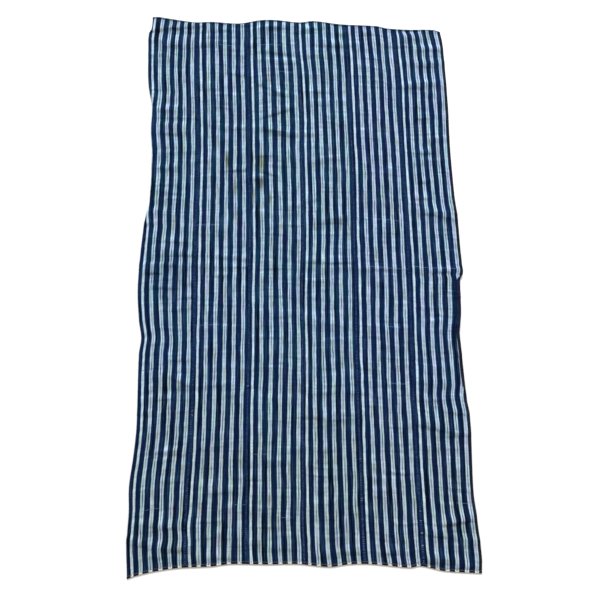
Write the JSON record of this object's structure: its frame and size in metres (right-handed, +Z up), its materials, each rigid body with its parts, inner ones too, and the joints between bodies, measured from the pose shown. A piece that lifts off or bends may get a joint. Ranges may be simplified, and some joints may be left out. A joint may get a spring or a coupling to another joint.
{
  "type": "strip-woven striped cotton cloth",
  "caption": "Rectangular cloth of narrow handwoven strips sewn edge to edge, striped lengthwise, lying spread on a surface with soft folds and partly turned selvedges.",
  "frame": {"origin": "under the middle of the cloth, on the surface it lies on", "axes": "+X across the strips, towards the right of the picture; +Y along the strips, towards the top of the picture; +Z up"},
  "size_m": [0.982, 1.6945, 0.0078],
  "materials": {
    "striped_cotton": "handspun cotton, indigo and white stripes, matt",
    "sewing_thread": "handspun cotton thread, pale blue, matt"
  },
  "bodies": {
    "root": {"strip_1": "striped_cotton", "strip_2": "striped_cotton", "strip_3": "striped_cotton", "strip_4": "striped_cotton", "strip_5": "striped_cotton", "strip_6": "striped_cotton"}
  },
  "joints": []
}
